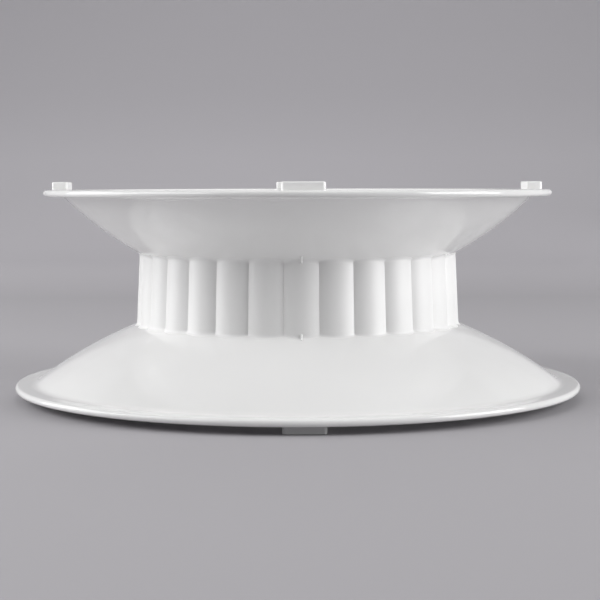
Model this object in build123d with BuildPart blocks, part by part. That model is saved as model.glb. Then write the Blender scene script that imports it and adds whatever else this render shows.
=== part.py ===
from build123d import *
import os
from math import cos, radians, sin, sqrt

# Reversible display pedestal, in millimetres. A wide lower dish and a smaller upper dish flare away
# from a fluted collar. The lower dish carries a slotted neck, the upper dish a neck with four lugs:
# the upper neck drops into the lower one and locks with a part turn, and the collar is held between
# the two dishes. Four pads under the lower rim are feet, and four on the upper rim locate a tray.
# The origin is on the floor under the centre, +Z is up and the front is at -Y.

# ---- driving dimensions -------------------------------------------------------------------------
lower_rim_radius = 127.0
upper_rim_radius = 113.8
rim_spacing = 86.1  # between the middles of the two rims
rim_thickness = 3.0
wall = 2.5

flute_count = 30
flute_depth = 1.7
crest_radius_low = 72.8  # collar over its flute crests, where it meets the lower dish
crest_radius_high = 71.3  # the same, where it meets the upper dish
collar_wall = 2.3  # behind the flute valleys
collar_low = 27.1  # height of the crests' lower ends above the middle of the lower rim
collar_high = 59.2  # height of the crests' upper ends above the middle of the lower rim
seat_gap = 0.1  # running gap between the collar and the dish that turns on it

lower_band_width = 8.8  # flat ring between the rim's edge and the flare
upper_band_width = 8.7
lower_bulge = 1.9  # how far each flare bows out from its chord
upper_bulge = 1.4
lower_band_fillet = 8.0
upper_band_fillet = 1.6
hollow_fillet = 1.0

pad_length = 7.1  # along the radius
pad_width = 17.2
pad_height = 3.4
pad_inset = 4.1  # from the rim's edge to the pad's outer face
pad_corner = 1.3
pad_edge = 0.6
pad_seat_margin = 1.0
peg_radius = 2.2
peg_length = 1.9
peg_clearance = 0.05
peg_shift = 0.8  # towards the centre, where the wall is thicker

neck_inner = 63.0  # bore of the lower dish's neck
neck_running_gap = 0.4  # between the two necks, on the radius
neck_top = 57.0
upper_neck_end = 38.0

lug_angle = 10.0
lug_height = 4.8
lug_low = 40.0
lug_clearance = 0.3
lug_side_clearance = 0.5  # degrees
lock_turn = 30.0  # degrees from locked to free
lug_start = 45.0

key_count = 4  # keys on the lower neck that stop the collar turning
key_width = 3.0
key_depth = 0.8  # into the collar's bore
key_top = 36.5
key_clearance = 0.1

mark_width = 1.1  # index marks, raised, at the front of each joint line
mark_rise = 0.8
mark_length = 1.5

# ---- worked out from them -----------------------------------------------------------------------
rim_outer_face = pad_height  # both measured inwards from the plane that the pads stand on
rim_inner_face = pad_height + rim_thickness
lower_rim_middle = pad_height + rim_thickness / 2
total_height = 2 * lower_rim_middle + rim_spacing
crest_low = lower_rim_middle + collar_low
crest_high = lower_rim_middle + collar_high
neck_outer = neck_inner + wall
upper_neck_outer = neck_inner - neck_running_gap
upper_neck_inner = upper_neck_outer - wall
bore_low = crest_radius_low - flute_depth - collar_wall
bore_high = crest_radius_high - flute_depth - collar_wall
key_low = crest_low - wall / 2
key_reach = bore_low + key_depth - neck_inner - wall / 2
key_middle = bore_low + key_depth - key_reach / 2
pad_angles = {"right": 0, "back": 90, "left": 180, "front": 270}
front = pad_angles["front"]

# Profiles are drawn as (radius, height), with height measured inwards from the rest plane.
lower_profile = Plane.XZ
upper_profile = Plane(origin=(0, 0, total_height), x_dir=(1, 0, 0), z_dir=(0, 1, 0))


class Flare:
    """The arc of a dish's outer face, through its collar edge and its band edge, bowed out by bulge."""

    def __init__(self, collar_edge, band_edge, bulge):
        (r1, h1), (r2, h2) = collar_edge, band_edge
        chord = sqrt((r2 - r1) ** 2 + (h1 - h2) ** 2)
        self.radius = (chord**2 / 4 + bulge**2) / (2 * bulge)
        back = (self.radius - bulge) / chord
        self.centre = ((r1 + r2) / 2 - (h1 - h2) * back, (h1 + h2) / 2 - (r2 - r1) * back)

    def height(self, r, inset=0.0):
        """Height of the face at radius r, or of the face that lies inset behind it."""
        return self.centre[1] + sqrt((self.radius - inset) ** 2 - (r - self.centre[0]) ** 2)

    def reach(self, height, inset=0.0):
        """Radius at which that face comes down to a height."""
        return self.centre[0] + sqrt((self.radius - inset) ** 2 - (height - self.centre[1]) ** 2)

    def arc(self, r1, r2, inset=0.0):
        """Draws that face from one radius to another."""
        points = [(r, self.height(r, inset)) for r in (r1, (r1 + r2) / 2, r2)]
        return ThreePointArc(*points)


lower_flare = Flare(
    (crest_radius_low, crest_low),
    (lower_rim_radius - lower_band_width, rim_inner_face),
    lower_bulge,
)
upper_flare = Flare(
    (crest_radius_high, total_height - crest_high),
    (upper_rim_radius - upper_band_width, rim_inner_face),
    upper_bulge,
)


def ring_sector(inner, outer, start, sweep_angle):
    """A piece of a flat ring, by its radii and its angles in degrees."""
    with BuildSketch() as sector:
        with BuildLine():
            near = CenterArc((0, 0), inner, start, sweep_angle)
            far = CenterArc((0, 0), outer, start, sweep_angle)
            Line(near @ 0, far @ 0)
            Line(near @ 1, far @ 1)
        make_face()
    return sector.sketch


def pad_centre(rim_radius):
    return rim_radius - pad_inset - pad_length / 2


def make_pad_seats(profile_plane, flare, rim_radius):
    """Four blocks that fill the hollow behind the rim, so that each pad has a flat face to sit on."""
    centre = pad_centre(rim_radius)
    inner_end = centre - pad_length / 2 - pad_seat_margin
    band_edge = flare.reach(rim_inner_face)
    with BuildPart() as seats:
        with BuildSketch(profile_plane):
            with BuildLine():
                flare.arc(inner_end, band_edge)
                Polyline(
                    (band_edge, rim_inner_face),
                    (rim_radius - rim_thickness, rim_inner_face),
                    (rim_radius - rim_thickness, rim_outer_face),
                    (inner_end, rim_outer_face),
                    (inner_end, flare.height(inner_end)),
                )
            make_face()
        revolve(axis=Axis.Z)
        with BuildSketch(Plane.XY):
            with PolarLocations(centre, len(pad_angles)):
                RectangleRounded(
                    pad_length + 2 * pad_seat_margin,
                    pad_width + 2 * pad_seat_margin,
                    pad_corner + pad_seat_margin,
                )
        extrude(amount=total_height, mode=Mode.INTERSECT)
    return seats.part


def make_dish(profile_plane, flare, rim_radius, band_fillet, neck_radii, neck_height):
    """A thin flared dish with a flat round-edged rim, a neck through the collar, and pad seats."""
    inner, outer = neck_radii
    band_edge = flare.reach(rim_inner_face)
    hollow_edge = flare.reach(rim_outer_face, wall)
    edge_centre = rim_radius - rim_thickness / 2
    with BuildPart() as dish:
        with BuildSketch(profile_plane) as section:
            with BuildLine():
                Line((outer, neck_height), (outer, flare.height(outer)))
                flare.arc(outer, band_edge)
                Line((band_edge, rim_inner_face), (edge_centre, rim_inner_face))
                ThreePointArc(
                    (edge_centre, rim_inner_face),
                    (rim_radius, (rim_inner_face + rim_outer_face) / 2),
                    (edge_centre, rim_outer_face),
                )
                Line((edge_centre, rim_outer_face), (hollow_edge, rim_outer_face))
                flare.arc(hollow_edge, inner, wall)
                Line((inner, flare.height(inner, wall)), (inner, neck_height))
                Line((inner, neck_height), (outer, neck_height))
            make_face()
            corners = section.vertices()
            fillet(corners.sort_by_distance((band_edge, rim_inner_face))[0], band_fillet)
            fillet(corners.sort_by_distance((hollow_edge, rim_outer_face))[0], hollow_fillet)
        revolve(axis=Axis.Z)
        add(make_pad_seats(profile_plane, flare, rim_radius))
        outwards = Vector(0, 0, 0) - profile_plane.y_dir
        seat_face = Plane(
            origin=profile_plane.origin - outwards * rim_outer_face,
            x_dir=(1, 0, 0),
            z_dir=outwards,
        )
        with Locations(seat_face):
            with PolarLocations(pad_centre(rim_radius) - peg_shift, len(pad_angles)):
                Hole(peg_radius, depth=peg_length + peg_clearance)
    return dish.part


def make_mark(profile_plane, flare, crest_radius):
    """A small wedge on a flare, just outside the collar, at the front."""
    start = crest_radius + mark_rise + 2 * seat_gap
    end = start + mark_length
    root = wall / 2
    front_plane = Plane(
        origin=profile_plane.origin,
        x_dir=(0, -1, 0),
        z_dir=Vector(0, -1, 0).cross(profile_plane.y_dir),
    )
    with BuildPart() as mark:
        with BuildSketch(front_plane):
            with BuildLine():
                Polyline(
                    (start, flare.height(start) - root),
                    (start, flare.height(start) + mark_rise),
                    (end, flare.height(end) + mark_rise / 4),
                    (end, flare.height(end) - root),
                    close=True,
                )
            make_face()
        extrude(amount=mark_width / 2, both=True)
    return mark.part


# ---- lower dish ---------------------------------------------------------------------------------
slot_angle = lug_angle + 2 * lug_side_clearance
slot_starts = [lug_start + 90 * quarter - slot_angle / 2 for quarter in range(4)]
slot_low = lug_low - lug_clearance
slot_height = lug_height + 2 * lug_clearance

with BuildPart() as lower_dish:
    add(
        make_dish(
            lower_profile,
            lower_flare,
            lower_rim_radius,
            lower_band_fillet,
            (neck_inner, neck_outer),
            neck_top,
        )
    )
    add(make_mark(lower_profile, lower_flare, crest_radius_low))
    # The keys start inside the wall and stand out past the collar's bore.
    with BuildSketch(Plane.XY.offset(key_low)):
        with PolarLocations(key_middle, key_count):
            Rectangle(key_reach, key_width)
    extrude(amount=key_top - key_low)
    # Each slot is an L: a run that holds the lug down, and a way up to the neck's open end.
    with BuildSketch(Plane.XY.offset(slot_low)):
        for start in slot_starts:
            add(ring_sector(neck_inner - wall, neck_outer + 1, start, slot_angle + lock_turn))
    extrude(amount=slot_height, mode=Mode.SUBTRACT)
    with BuildSketch(Plane.XY.offset(slot_low)):
        for start in slot_starts:
            add(ring_sector(neck_inner - wall, neck_outer + 1, start + lock_turn, slot_angle))
    extrude(amount=neck_top - slot_low + 1, mode=Mode.SUBTRACT)
lower_dish.part.label = "lower_dish"

# ---- upper dish ---------------------------------------------------------------------------------
with BuildPart() as upper_dish:
    add(
        make_dish(
            upper_profile,
            upper_flare,
            upper_rim_radius,
            upper_band_fillet,
            (upper_neck_inner, upper_neck_outer),
            total_height - upper_neck_end,
        )
    )
    add(make_mark(upper_profile, upper_flare, crest_radius_high))
    with BuildSketch(Plane.XY.offset(lug_low)):
        for quarter in range(4):
            start = lug_start + 90 * quarter - lug_angle / 2
            add(ring_sector(upper_neck_outer - wall / 2, neck_outer - lug_clearance, start, lug_angle))
    extrude(amount=lug_height)
upper_dish.part.label = "upper_dish"


# ---- fluted collar ------------------------------------------------------------------------------
def crest_radius_at(height):
    """The collar tapers evenly from its lower end to its upper end."""
    share = (height - crest_low) / (crest_high - crest_low)
    return crest_radius_low + share * (crest_radius_high - crest_radius_low)


def fluted_outline(height):
    """Closed outline of round flutes, one arc each, with a crest at the front."""
    half_pitch = 180 / flute_count
    crest = crest_radius_at(height)
    with BuildSketch(Plane.XY.offset(height)) as outline:
        with BuildLine():
            for flute in range(flute_count):
                middle = front + 2 * half_pitch * flute
                radii = (crest - flute_depth, crest, crest - flute_depth)
                turns = (middle - half_pitch, middle, middle + half_pitch)
                points = [
                    (r * cos(radians(turn)), r * sin(radians(turn)))
                    for r, turn in zip(radii, turns)
                ]
                ThreePointArc(*points)
        make_face()
    return outline.sketch


flute_overrun = 4.0  # the outlines start below and end above the collar's curved ends
outline_low = crest_low - flute_overrun
outline_high = crest_high + flute_overrun
trim_radius = crest_radius_low + mark_rise + 1

with BuildPart() as fluted_collar:
    loft([fluted_outline(outline_low).face(), fluted_outline(outline_high).face()], ruled=True)
    # Index marks on the front flute, at both ends; the ends are trimmed below.
    mark_ends = {
        crest_radius_low: crest_low - mark_length,
        crest_radius_high: crest_high - mark_length,
    }
    for crest, mark_low in mark_ends.items():
        with BuildSketch(Plane.XY.offset(mark_low)):
            with Locations((0, -crest)):
                Rectangle(mark_width, 2 * mark_rise)
        extrude(amount=2 * mark_length)
    # The meridian section gives the tapered bore and the two ends that seat on the flares.
    with BuildSketch(Plane.XZ):
        low_radii = (bore_low, (bore_low + trim_radius) / 2, trim_radius)
        high_radii = (bore_high, (bore_high + trim_radius) / 2, trim_radius)
        low_seat = [(r, lower_flare.height(r)) for r in low_radii]
        high_seat = [(r, total_height - upper_flare.height(r) - seat_gap) for r in high_radii]
        with BuildLine():
            ThreePointArc(*low_seat)
            Line(low_seat[-1], high_seat[-1])
            ThreePointArc(*reversed(high_seat))
            Line(high_seat[0], low_seat[0])
        make_face()
    revolve(axis=Axis.Z, mode=Mode.INTERSECT)
    with BuildSketch(Plane.XY.offset(crest_low - wall)):
        with PolarLocations(key_middle, key_count):
            Rectangle(key_reach + 2 * key_clearance, key_width + 2 * key_clearance)
    extrude(amount=key_top + key_clearance - crest_low + wall, mode=Mode.SUBTRACT)
fluted_collar.part.label = "fluted_collar"


# ---- pads ---------------------------------------------------------------------------------------
def make_pad(seat_plane, label):
    """A rounded block on a short peg, which presses into the rim."""
    with BuildPart() as pad:
        with BuildSketch(seat_plane):
            RectangleRounded(pad_length, pad_width, pad_corner)
        extrude(amount=pad_height)
        outer_face = pad.faces().sort_by(Axis((0, 0, 0), seat_plane.z_dir))[-1]
        fillet(outer_face.edges(), pad_edge)
        with BuildSketch(seat_plane):
            with Locations((-peg_shift, 0)):
                Circle(peg_radius - peg_clearance)
        extrude(amount=-peg_length)
    pad.part.label = label
    return pad.part


def pad_plane(rim_radius, height, angle, outwards):
    centre = pad_centre(rim_radius)
    direction = Vector(cos(radians(angle)), sin(radians(angle)), 0)
    return Plane(origin=direction * centre + Vector(0, 0, height), x_dir=direction, z_dir=outwards)


pads = []
for side, angle in pad_angles.items():
    foot_plane = pad_plane(lower_rim_radius, rim_outer_face, angle, (0, 0, -1))
    tray_plane = pad_plane(upper_rim_radius, total_height - rim_outer_face, angle, (0, 0, 1))
    pads.append(make_pad(foot_plane, f"foot_pad_{side}"))
    pads.append(make_pad(tray_plane, f"tray_pad_{side}"))

# ---- one file for each piece --------------------------------------------------------------------
os.makedirs("parts", exist_ok=True)
for piece in [lower_dish.part, upper_dish.part, fluted_collar.part, *pads]:
    export_step(piece, f"parts/{piece.label}.step")
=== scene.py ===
"""Looks of the reversible display pedestal: glossy white moulded plastic on a pale studio sweep.

The dishes and the collar are rebuilt as fine meshes around the CAD, because their gloss shows every
facet. The pads are the CAD's own. All lengths are in metres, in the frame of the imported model.
"""

from math import atan2, cos, pi, radians, sin, sqrt

import bmesh
import bpy
from mathutils import Matrix, Vector


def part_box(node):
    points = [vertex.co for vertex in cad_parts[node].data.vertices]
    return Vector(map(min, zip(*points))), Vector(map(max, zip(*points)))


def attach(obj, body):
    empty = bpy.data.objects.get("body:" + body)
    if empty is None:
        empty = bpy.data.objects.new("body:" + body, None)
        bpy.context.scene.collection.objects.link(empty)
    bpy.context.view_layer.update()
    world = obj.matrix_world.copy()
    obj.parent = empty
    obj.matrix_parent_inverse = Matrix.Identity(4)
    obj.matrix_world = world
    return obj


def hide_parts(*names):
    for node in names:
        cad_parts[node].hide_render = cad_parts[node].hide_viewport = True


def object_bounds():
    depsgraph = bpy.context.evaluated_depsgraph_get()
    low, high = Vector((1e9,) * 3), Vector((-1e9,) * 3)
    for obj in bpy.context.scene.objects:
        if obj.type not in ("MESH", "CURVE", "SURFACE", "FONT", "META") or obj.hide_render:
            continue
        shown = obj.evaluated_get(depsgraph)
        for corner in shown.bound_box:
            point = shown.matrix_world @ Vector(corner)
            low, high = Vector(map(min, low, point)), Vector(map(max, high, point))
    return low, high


MM = 0.001
FRONT = radians(-90)

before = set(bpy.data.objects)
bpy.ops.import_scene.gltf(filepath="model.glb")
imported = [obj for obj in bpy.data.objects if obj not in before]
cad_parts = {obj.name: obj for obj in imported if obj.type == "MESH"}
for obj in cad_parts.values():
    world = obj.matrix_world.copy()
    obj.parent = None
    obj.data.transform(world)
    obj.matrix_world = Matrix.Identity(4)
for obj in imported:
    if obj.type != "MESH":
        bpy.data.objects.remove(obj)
cad_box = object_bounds()

# ---- sizes; what isn't read from the frame repeats the CAD's dimensions ----------------------------
lower_low, lower_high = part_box("lower_dish")
upper_low, upper_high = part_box("upper_dish")
TOTAL_HEIGHT = cad_box[1][2]
LOWER_RIM = lower_high[0]
UPPER_RIM = upper_high[0]
RIM_OUTER = lower_low[2]  # rim face behind the pads, inwards from the plane they stand on
RIM_THICKNESS = 3.0 * MM
RIM_INNER = RIM_OUTER + RIM_THICKNESS
NECK_TOP = lower_high[2]
UPPER_NECK_END = upper_low[2]
WALL = 2.5 * MM

FLUTES = 30
FLUTE_DEPTH = 1.7 * MM
CREST_LOW_RADIUS = 72.8 * MM
CREST_HIGH_RADIUS = 71.3 * MM
CREST_LOW = 32.0 * MM
CREST_HIGH = 64.1 * MM
COLLAR_WALL = 2.3 * MM
COLLAR_SINK = 0.03 * MM  # so that no light shows between the collar and a dish
COLLAR_ROOT = 1.3 * MM  # reach of the small round where the flutes meet a dish
COLLAR_ROOT_STEPS = 6
STEPS_PER_FLUTE = 24
STEPS_UP_FLUTE = 24

LOWER_BAND_WIDTH = 8.8 * MM
UPPER_BAND_WIDTH = 8.7 * MM
LOWER_BULGE = 1.9 * MM
UPPER_BULGE = 1.4 * MM
LOWER_BLEND = 2.3 * MM  # length of the soft blend between flare and band, on each side
UPPER_BLEND = 0.7 * MM
HOLLOW_BLEND = 2.0 * MM
DISH_STEPS = 360

NECK_INNER = 63.0 * MM
NECK_OUTER = 65.5 * MM
UPPER_NECK_OUTER = 62.6 * MM
UPPER_NECK_INNER = 60.1 * MM
LUG_ANGLE = radians(10)
LUG_START = radians(45)
LUG_LOW = 40.0 * MM
LUG_HIGH = 44.8 * MM
LUG_REACH = 65.2 * MM
SLOT_ANGLE = radians(11)
SLOT_LOW = 39.7 * MM
SLOT_HIGH = 45.1 * MM
LOCK_TURN = radians(30)
QUARTERS = [quarter * pi / 2 for quarter in range(4)]

PAD_LENGTH = 7.1 * MM
PAD_WIDTH = 17.2 * MM
PAD_INSET = 4.1 * MM
SEAT_MARGIN = 1.0 * MM
SEAT_CORNER = 2.3 * MM
SEAT_EDGE = 0.5 * MM
SEAT_SINK = 0.03 * MM  # keeps the seat's face under the rim's, where the two cover the same place

MARK_WIDTH = 1.1 * MM
MARK_RISE = 0.8 * MM
MARK_LENGTH = 1.5 * MM
MARK_ROOT = 0.5 * MM


# ---- mesh building --------------------------------------------------------------------------------
def polar(radius, angle, height):
    return Vector((radius * cos(angle), radius * sin(angle), height))


def new_object(name, bm, sharp_angle=30):
    """Makes an object of a bmesh, smooth but for edges sharper than the angle in degrees."""
    bmesh.ops.remove_doubles(bm, verts=bm.verts, dist=1e-7)
    bmesh.ops.recalc_face_normals(bm, faces=bm.faces)
    mesh = bpy.data.meshes.new(name)
    bm.to_mesh(mesh)
    bm.free()
    for polygon in mesh.polygons:
        polygon.use_smooth = True
    mesh.set_sharp_from_angle(angle=radians(sharp_angle))
    piece = bpy.data.objects.new(name, mesh)
    bpy.context.scene.collection.objects.link(piece)
    return piece


def join_rings(bm, near, far):
    """Faces between two closed runs of vertices."""
    count = len(near)
    for k in range(count):
        following = (k + 1) % count
        bm.faces.new((near[k], near[following], far[following], far[k]))


def lathe(bm, outline, steps):
    """Turns a closed (radius, height) outline about +Z."""
    rings = []
    for step in range(steps):
        angle = 2 * pi * step / steps
        rings.append([bm.verts.new(polar(r, angle, h)) for r, h in outline])
    for near, far in zip(rings, rings[1:] + rings[:1]):
        join_rings(bm, near, far)


def arc_points(centre, radius, start, end, steps):
    """Points of an arc, angles in degrees."""
    angles = [radians(start + (end - start) * k / steps) for k in range(steps + 1)]
    return [(centre[0] + radius * cos(a), centre[1] + radius * sin(a)) for a in angles]


def line_points(start, end, steps):
    reach = (end[0] - start[0], end[1] - start[1])
    return [
        (start[0] + reach[0] * k / steps, start[1] + reach[1] * k / steps) for k in range(steps + 1)
    ]


def corner_curve(start, corner, end, steps):
    """Points of the curve that leaves start towards the corner and reaches end from the corner."""
    points = []
    for k in range(steps + 1):
        t = k / steps
        weights = ((1 - t) ** 2, 2 * t * (1 - t), t**2)
        weighted = list(zip(weights, (start, corner, end)))
        points.append(tuple(sum(w * point[axis] for w, point in weighted) for axis in (0, 1)))
    return points


def blend(before, after, reach, steps=10):
    """Joins two runs of points that meet at a corner by a curve that starts reach short of it."""
    corner = before[-1]

    def distance(point):
        return sqrt((point[0] - corner[0]) ** 2 + (point[1] - corner[1]) ** 2)

    def cut(run):
        kept = [p for p in run if distance(p) > reach]
        share = reach / distance(kept[-1])
        end = tuple(c + (last - c) * share for c, last in zip(corner, kept[-1]))
        return kept + [end]

    head = cut(before)
    tail = cut(after[::-1])[::-1]
    curve = corner_curve(head[-1], corner, tail[0], steps)
    return head + curve[1:-1] + tail


class Flare:
    """The arc of a dish's outer face in section: (radius, height inwards from the rest plane)."""

    def __init__(self, collar_edge, band_edge, bulge):
        (r1, h1), (r2, h2) = collar_edge, band_edge
        chord = sqrt((r2 - r1) ** 2 + (h1 - h2) ** 2)
        self.radius = (chord**2 / 4 + bulge**2) / (2 * bulge)
        back = (self.radius - bulge) / chord
        self.centre = ((r1 + r2) / 2 - (h1 - h2) * back, (h1 + h2) / 2 - (r2 - r1) * back)

    def height(self, r, inset=0.0):
        return self.centre[1] + sqrt((self.radius - inset) ** 2 - (r - self.centre[0]) ** 2)

    def reach(self, height, inset=0.0):
        return self.centre[0] + sqrt((self.radius - inset) ** 2 - (height - self.centre[1]) ** 2)

    def points(self, r1, r2, inset=0.0, steps=48):
        radii = [r1 + (r2 - r1) * k / steps for k in range(steps + 1)]
        return [(r, self.height(r, inset)) for r in radii]


lower_flare = Flare(
    (CREST_LOW_RADIUS, CREST_LOW), (LOWER_RIM - LOWER_BAND_WIDTH, RIM_INNER), LOWER_BULGE
)
upper_flare = Flare(
    (CREST_HIGH_RADIUS, TOTAL_HEIGHT - CREST_HIGH),
    (UPPER_RIM - UPPER_BAND_WIDTH, RIM_INNER),
    UPPER_BULGE,
)


def shell_outline(flare, rim, inner, outer, neck_height, band_blend):
    """Section of a dish, from its neck's outer wall round the rim to the neck's inner wall."""
    band_edge = flare.reach(RIM_INNER)
    hollow_edge = flare.reach(RIM_OUTER, WALL)
    edge_centre = (rim - RIM_THICKNESS / 2, RIM_OUTER + RIM_THICKNESS / 2)
    band = line_points((band_edge, RIM_INNER), (edge_centre[0], RIM_INNER), 12)
    face = blend(flare.points(outer, band_edge), band, band_blend)
    edge = arc_points(edge_centre, RIM_THICKNESS / 2, 90, -90, 16)
    back_band = line_points((edge_centre[0], RIM_OUTER), (hollow_edge, RIM_OUTER), 12)
    hollow = blend(back_band, flare.points(hollow_edge, inner, WALL), HOLLOW_BLEND)
    neck = [(inner, neck_height), (outer, neck_height)]
    return face + edge[1:-1] + hollow + neck


def seat_block(bm, flare, rim, angle):
    """A rounded block that fills the hollow behind the rim, down to the middle of the flare's wall."""
    middle = rim - PAD_INSET - PAD_LENGTH / 2
    corner_u = PAD_LENGTH / 2 + SEAT_MARGIN - SEAT_CORNER
    corner_v = PAD_WIDTH / 2 + SEAT_MARGIN - SEAT_CORNER
    top = RIM_OUTER + SEAT_SINK

    def wall_at(r):
        wall = flare.height(min(r, flare.reach(RIM_INNER)), WALL / 2)
        return max(wall, top + 2 * SEAT_EDGE)

    def ring(inset, height_at):
        """A rounded rectangle, inset from the block's side; its height may depend on the radius."""
        verts = []
        for quarter, (u_side, v_side) in enumerate(((1, 1), (-1, 1), (-1, -1), (1, -1))):
            corner = (u_side * corner_u, v_side * corner_v)
            start = 90 * quarter
            for u, v in arc_points(corner, SEAT_CORNER - inset, start, start + 90, 6):
                r = sqrt((middle + u) ** 2 + v**2)
                turn = angle + atan2(v, middle + u)
                verts.append(bm.verts.new(polar(r, turn, height_at(r))))
        return verts

    rings = [
        ring(SEAT_EDGE, lambda r: top),
        ring(0.3 * SEAT_EDGE, lambda r: top + 0.3 * SEAT_EDGE),
        ring(0, lambda r: top + SEAT_EDGE),
        ring(0, wall_at),
    ]
    for near, far in zip(rings, rings[1:]):
        join_rings(bm, near, far)
    bm.faces.new(rings[0])
    bm.faces.new(rings[-1])


def index_mark(bm, stations, lift):
    """A raised mark, roof-shaped in section, through stations of (foot, rise)."""
    side = Vector((MARK_WIDTH / 2, 0, 0))
    rows = []
    for foot, rise in stations:
        root = foot - MARK_ROOT * lift
        section = (root - side, foot - side, foot + rise * lift, foot + side, root + side)
        rows.append([bm.verts.new(point) for point in section])
    for near, far in zip(rows, rows[1:]):
        join_rings(bm, near, far)
    bm.faces.new(rows[0])
    bm.faces.new(rows[-1])


def dish_mark(bm, flare, crest_radius):
    """The half of a mark that stands on a dish, just outside the collar, lower towards the rim."""
    start = crest_radius + MARK_RISE + 0.1 * MM
    stations = []
    for share in (0, 1):
        r = start + share * MARK_LENGTH
        stations.append((Vector((0, -r, flare.height(r))), MARK_RISE * (1 - 0.6 * share)))
    index_mark(bm, stations, Vector((0, 0, 1)))


def mirror_up(bm):
    """Turns a dish drawn from the floor plane the other way up, to hang from the top plane."""
    for vert in bm.verts:
        vert.co.z = TOTAL_HEIGHT - vert.co.z


def wall_cell(bm, radii, heights, angles, steps):
    """A curved block: a piece of a tube wall between two angles."""
    (inner, outer), (low, high), (start, end) = radii, heights, angles
    rings = []
    for k in range(steps + 1):
        a = start + (end - start) * k / steps
        ring = [polar(r, a, h) for r, h in ((outer, low), (outer, high), (inner, high), (inner, low))]
        rings.append([bm.verts.new(p) for p in ring])
    for near, far in zip(rings, rings[1:]):
        join_rings(bm, near, far)
    bm.faces.new(rings[0])
    bm.faces.new(rings[-1])


def make_lower_dish():
    bm = bmesh.new()
    outline = shell_outline(lower_flare, LOWER_RIM, NECK_INNER, NECK_OUTER, SLOT_LOW, LOWER_BLEND)
    lathe(bm, outline, DISH_STEPS)
    tube = (NECK_INNER, NECK_OUTER)
    for quarter in QUARTERS:
        seat_block(bm, lower_flare, LOWER_RIM, quarter)
        # From the slots' floor up, the neck is walled but for four L-shaped slots, open at the top.
        slot_start = LUG_START + quarter - SLOT_ANGLE / 2
        way_up = slot_start + LOCK_TURN
        next_slot = slot_start + pi / 2
        wall_cell(bm, tube, (SLOT_HIGH, NECK_TOP), (slot_start, way_up), 30)
        wall_cell(bm, tube, (SLOT_LOW, NECK_TOP), (way_up + SLOT_ANGLE, next_slot), 49)
    dish_mark(bm, lower_flare, CREST_LOW_RADIUS)
    return new_object("lower_dish_shell", bm)


def make_upper_dish():
    bm = bmesh.new()
    neck_height = TOTAL_HEIGHT - UPPER_NECK_END
    outline = shell_outline(
        upper_flare, UPPER_RIM, UPPER_NECK_INNER, UPPER_NECK_OUTER, neck_height, UPPER_BLEND
    )
    lathe(bm, outline, DISH_STEPS)
    for quarter in QUARTERS:
        seat_block(bm, upper_flare, UPPER_RIM, quarter)
    dish_mark(bm, upper_flare, CREST_HIGH_RADIUS)
    mirror_up(bm)
    for quarter in QUARTERS:
        middle = LUG_START + quarter
        angles = (middle - LUG_ANGLE / 2, middle + LUG_ANGLE / 2)
        wall_cell(bm, (UPPER_NECK_OUTER - WALL / 2, LUG_REACH), (LUG_LOW, LUG_HIGH), angles, 10)
    return new_object("upper_dish_shell", bm)


def flute_radius(crest, angle):
    """Radius of the fluted outline at an angle from the front, for a given crest radius."""
    half_pitch = pi / FLUTES
    valley = crest - FLUTE_DEPTH
    centre = (crest**2 - valley**2) / (2 * (crest - valley * cos(half_pitch)))
    turn = (angle + half_pitch) % (2 * half_pitch) - half_pitch
    return centre * cos(turn) + sqrt((crest - centre) ** 2 - (centre * sin(turn)) ** 2)


def crest_at(height):
    """Radius of the collar's crests at a height."""
    taper = (CREST_HIGH_RADIUS - CREST_LOW_RADIUS) / (CREST_HIGH - CREST_LOW)
    return CREST_LOW_RADIUS + taper * (height - CREST_LOW)


def lower_face(r):
    """Height of the collar's lower end, just inside the lower dish."""
    return lower_flare.height(r) - COLLAR_SINK


def upper_face(r):
    return TOTAL_HEIGHT - upper_flare.height(r) + COLLAR_SINK


def collar_section(angle):
    """The collar cut at an angle from the front: up the outer face, with its two roots, down the bore."""
    low_r = flute_radius(CREST_LOW_RADIUS, angle)
    high_r = flute_radius(CREST_HIGH_RADIUS, angle)
    low, high = lower_face(low_r), upper_face(high_r)
    low_end = (low_r + COLLAR_ROOT, lower_face(low_r + COLLAR_ROOT))
    high_end = (high_r + COLLAR_ROOT, upper_face(high_r + COLLAR_ROOT))
    section = corner_curve(low_end, (low_r, low), (low_r, low + COLLAR_ROOT), COLLAR_ROOT_STEPS)
    for k in range(1, STEPS_UP_FLUTE):
        h = low + COLLAR_ROOT + (high - low - 2 * COLLAR_ROOT) * k / STEPS_UP_FLUTE
        section.append((flute_radius(crest_at(h), angle), h))
    section += corner_curve((high_r, high - COLLAR_ROOT), (high_r, high), high_end, COLLAR_ROOT_STEPS)
    bore_high = CREST_HIGH_RADIUS - FLUTE_DEPTH - COLLAR_WALL
    bore_low = CREST_LOW_RADIUS - FLUTE_DEPTH - COLLAR_WALL
    section.append((bore_high, upper_face(bore_high)))
    section.append((bore_low, lower_face(bore_low)))
    return section


def collar_mark(bm, low, high):
    """The half of a mark that stands on the front crest, between two heights."""
    stations = [(Vector((0, -crest_at(h), h)), MARK_RISE) for h in (low, high)]
    index_mark(bm, stations, Vector((0, -1, 0)))


def make_collar():
    bm = bmesh.new()
    rings = []
    steps = FLUTES * STEPS_PER_FLUTE
    for step in range(steps):
        angle = 2 * pi * step / steps
        rings.append([bm.verts.new(polar(r, FRONT + angle, h)) for r, h in collar_section(angle)])
    for near, far in zip(rings, rings[1:] + rings[:1]):
        join_rings(bm, near, far)
    lower_foot = lower_flare.height(CREST_LOW_RADIUS + MARK_RISE)
    upper_foot = TOTAL_HEIGHT - upper_flare.height(CREST_HIGH_RADIUS + MARK_RISE)
    collar_mark(bm, lower_foot, CREST_LOW + MARK_LENGTH)
    collar_mark(bm, CREST_HIGH - MARK_LENGTH, upper_foot)
    return new_object("collar_shell", bm, 25)


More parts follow.
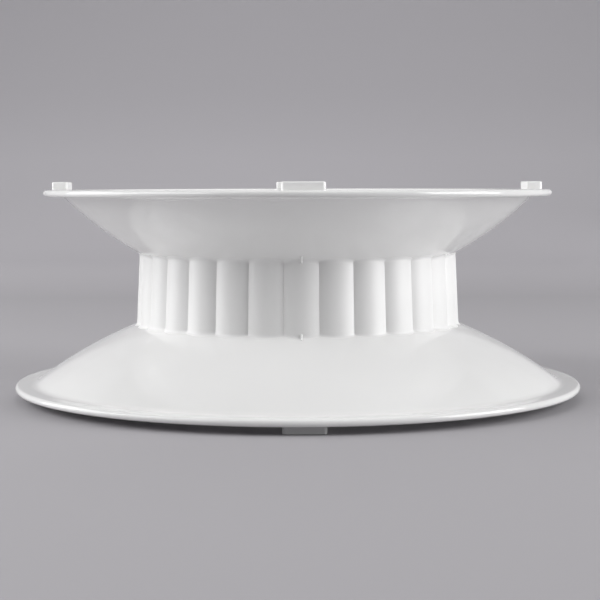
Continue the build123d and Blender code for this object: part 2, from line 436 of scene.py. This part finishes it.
# ---- materials ------------------------------------------------------------------------------------
PLASTIC_IOR = 1.55
SHADE_DRIFT = 0.975
RIPPLE_HEIGHT = 0.15 * MM


def moulded_plastic(name, colour, roughness, seed):
    """Moulded plastic: faint shade drift, uneven gloss and flow ripple. The seed moves the noise."""
    material = bpy.data.materials.new(name)
    material.use_nodes = True
    nodes, links = material.node_tree.nodes, material.node_tree.links
    shader = nodes["Principled BSDF"]
    shader.inputs["IOR"].default_value = PLASTIC_IOR

    position = nodes.new("ShaderNodeTexCoord")

    def noise(scale, detail, offset):
        mapping = nodes.new("ShaderNodeMapping")
        mapping.inputs["Location"].default_value = (seed + offset, seed, offset)
        texture = nodes.new("ShaderNodeTexNoise")
        texture.inputs["Scale"].default_value = scale
        texture.inputs["Detail"].default_value = detail
        links.new(position.outputs["Object"], mapping.inputs["Vector"])
        links.new(mapping.outputs["Vector"], texture.inputs["Vector"])
        return texture.outputs["Fac"]

    def ramp(source, stops):
        node = nodes.new("ShaderNodeValToRGB")
        for element, (place, value) in zip(node.color_ramp.elements, stops):
            element.position = place
            element.color = value
        links.new(source, node.inputs["Fac"])
        return node.outputs["Color"]

    def to_range(source, low, high):
        node = nodes.new("ShaderNodeMapRange")
        node.inputs["To Min"].default_value = low
        node.inputs["To Max"].default_value = high
        links.new(source, node.inputs["Value"])
        return node.outputs["Result"]

    shade = tuple(c * SHADE_DRIFT for c in colour)
    drift = noise(scale=14, detail=3, offset=1.0)
    links.new(ramp(drift, ((0.3, (*shade, 1)), (0.7, (*colour, 1)))), shader.inputs["Base Color"])

    gloss = noise(scale=45, detail=6, offset=2.0)
    links.new(to_range(gloss, roughness * 0.8, roughness * 1.25), shader.inputs["Roughness"])

    ripple = nodes.new("ShaderNodeBump")
    ripple.inputs["Strength"].default_value = 0.04
    ripple.inputs["Distance"].default_value = RIPPLE_HEIGHT
    links.new(noise(scale=160, detail=2, offset=4.0), ripple.inputs["Height"])
    links.new(ripple.outputs["Normal"], shader.inputs["Normal"])
    return material


WHITE = (0.85, 0.85, 0.845)
COLLAR_WHITE = (0.83, 0.83, 0.825)
# The tray pads are painted whiter than the dishes' plastic: painted light, brightening their faces as if
# more light fell on them.
PAD_WHITE_PAINTED_LIGHT = (0.96, 0.96, 0.955)
# The foot pads are the same white plastic as the tray pads, painted grey: painted shade, for the shade
# under the lower rim.
FOOT_PAINTED_SHADE = (0.52, 0.52, 0.52)
dish_plastic = moulded_plastic("dish_plastic", WHITE, roughness=0.06, seed=0)
collar_plastic = moulded_plastic("collar_plastic", COLLAR_WHITE, roughness=0.42, seed=3)
tray_pad_painted_light = moulded_plastic("tray_pad_painted_light", PAD_WHITE_PAINTED_LIGHT, roughness=0.3, seed=7)
foot_pad_painted_shade = moulded_plastic("foot_pad_painted_shade", FOOT_PAINTED_SHADE, roughness=0.45, seed=9)


def paint(piece, material):
    piece.data.materials.clear()
    piece.data.materials.append(material)


# ---- pieces ---------------------------------------------------------------------------------------
lower_dish = make_lower_dish()
upper_dish = make_upper_dish()
collar = make_collar()
for piece, node, body, slot, material in (
    (lower_dish, "lower_dish", "stand", "lower_dish", dish_plastic),
    (upper_dish, "upper_dish", "top", "upper_dish", dish_plastic),
    (collar, "fluted_collar", "stand", "collar", collar_plastic),
):
    paint(piece, material)
    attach(piece, body)
    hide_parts(node)
# The tray pads take the white with painted light, and the foot pads the grey with painted shade.
for name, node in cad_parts.items():
    if "_pad_" in name:
        plastic = tray_pad_painted_light if name.startswith("tray") else foot_pad_painted_shade
        for material_slot in node.material_slots:
            material_slot.material = plastic


# ---- floor, light and camera ----------------------------------------------------------------------
SWEEP_HALF_WIDTH = 10.0
SWEEP_FRONT = -10.0
SWEEP_BACK = 2.2
SWEEP_HEIGHT = 4.0
SWEEP_BEND = 1.0
PAPER_FRONT = (0.382, 0.371, 0.391, 1)
PAPER_BACK = (0.80, 0.78, 0.82, 1)
PAPER_CHANGE = (0.6, 1.7)  # where along Y the paper goes from the one colour to the other


def sweep_paper():
    """Grey paper, lighter towards the back."""
    material = bpy.data.materials.new("sweep_paper")
    material.use_nodes = True
    nodes, links = material.node_tree.nodes, material.node_tree.links
    shader = nodes["Principled BSDF"]
    shader.inputs["Roughness"].default_value = 0.85
    place = nodes.new("ShaderNodeTexCoord")
    axes = nodes.new("ShaderNodeSeparateXYZ")
    depth = nodes.new("ShaderNodeMapRange")
    depth.inputs["From Min"].default_value = PAPER_CHANGE[0]
    depth.inputs["From Max"].default_value = PAPER_CHANGE[1]
    paper = nodes.new("ShaderNodeMix")
    paper.data_type = "RGBA"
    paper.inputs["A"].default_value = PAPER_FRONT
    paper.inputs["B"].default_value = PAPER_BACK
    links.new(place.outputs["Object"], axes.inputs["Vector"])
    links.new(axes.outputs["Y"], depth.inputs["Value"])
    links.new(depth.outputs["Result"], paper.inputs["Factor"])
    links.new(paper.outputs["Result"], shader.inputs["Base Color"])
    return material


def make_sweep():
    """Floor and backdrop in one sheet, with a wide bend between them."""
    outline = [(SWEEP_FRONT, 0.0)]
    outline += arc_points((SWEEP_BACK - SWEEP_BEND, SWEEP_BEND), SWEEP_BEND, -90, 0, 24)
    outline.append((SWEEP_BACK, SWEEP_HEIGHT))
    sides = (-SWEEP_HALF_WIDTH, SWEEP_HALF_WIDTH)
    bm = bmesh.new()
    rows = [[bm.verts.new((x, y, z)) for x in sides] for y, z in outline]
    for near, far in zip(rows, rows[1:]):
        bm.faces.new((near[0], near[1], far[1], far[0]))
    sweep = new_object("sweep", bm)
    paint(sweep, sweep_paper())


def softbox(name, place, target, size, watts):
    """A square light at a place, aimed at a target."""
    light = bpy.data.lights.new(name, "AREA")
    light.shape = "SQUARE"
    light.size = size
    light.energy = watts
    lamp = bpy.data.objects.new(name, light)
    aim = (target - place).to_track_quat("-Z", "Y")
    lamp.matrix_world = Matrix.Translation(place) @ aim.to_matrix().to_4x4()
    bpy.context.scene.collection.objects.link(lamp)


def from_object(azimuth, elevation, distance):
    """A place seen from the object in a direction in degrees; azimuth 0 is the front, 90 the right."""
    level = cos(radians(elevation))
    direction = (sin(radians(azimuth)) * level, -cos(radians(azimuth)) * level, sin(radians(elevation)))
    return distance * Vector(direction)


BOX_DISTANCE = 1.4
BOX_SIZE = 1.0
OBJECT_MIDDLE = Vector((0, 0, TOTAL_HEIGHT / 2))
make_sweep()
for name, azimuth, elevation, watts in (
    ("left_box", -100, 20, 10.8),
    ("left_front_box", -60, 35, 10.2),
    ("right_box", 75, 20, 18.9),
    ("left_back_box", -140, 20, 0.6),
    ("right_back_box", 140, 20, 0.8),
    ("high_back_box", 180, 50, 2.6),
):
    softbox(name, from_object(azimuth, elevation, BOX_DISTANCE), OBJECT_MIDDLE, BOX_SIZE, watts)


CEILING_STRENGTH = 0.95
CEILING_EDGES = (60, 70)  # elevations between which the patch brightens, in degrees


def make_room():
    """A dark room with a bright soft-edged patch of ceiling about the zenith."""
    world = bpy.data.worlds.new("room")
    world.use_nodes = True
    nodes, links = world.node_tree.nodes, world.node_tree.links
    direction = nodes.new("ShaderNodeTexCoord")
    axes = nodes.new("ShaderNodeSeparateXYZ")
    patch = nodes.new("ShaderNodeMapRange")
    patch.interpolation_type = "SMOOTHSTEP"
    patch.inputs["From Min"].default_value = sin(radians(CEILING_EDGES[0]))
    patch.inputs["From Max"].default_value = sin(radians(CEILING_EDGES[1]))
    patch.inputs["To Max"].default_value = CEILING_STRENGTH
    links.new(direction.outputs["Generated"], axes.inputs["Vector"])
    links.new(axes.outputs["Z"], patch.inputs["Value"])
    links.new(patch.outputs["Result"], nodes["Background"].inputs["Strength"])
    nodes["Background"].inputs["Color"].default_value = (1, 1, 1, 1)
    bpy.context.scene.world = world


make_room()
bpy.context.scene.view_settings.view_transform = "Standard"

# The camera is level with the upper rim, a degree round to the left, and looks a little down.
CAMERA_DISTANCE = 0.7140
CAMERA_HEIGHT = 0.09525
CAMERA_AZIMUTH = -1.24
CAMERA_PITCH = -4.246
CAMERA_ROLL = -0.11
CAMERA_LENS = 94.42
CAMERA_SHIFT = 0.0039
camera_data = bpy.data.cameras.new("camera")
camera_data.lens = CAMERA_LENS
camera_data.sensor_width = 36
camera_data.shift_x = CAMERA_SHIFT
camera_data.clip_start = 0.01
camera = bpy.data.objects.new("camera", camera_data)
camera.matrix_world = (
    Matrix.Rotation(radians(CAMERA_AZIMUTH), 4, "Z")
    @ Matrix.Translation((0, -CAMERA_DISTANCE, CAMERA_HEIGHT))
    @ Matrix.Rotation(radians(90 + CAMERA_PITCH), 4, "X")
    @ Matrix.Rotation(radians(CAMERA_ROLL), 4, "Z")
)
bpy.context.scene.collection.objects.link(camera)
bpy.context.scene.camera = camera
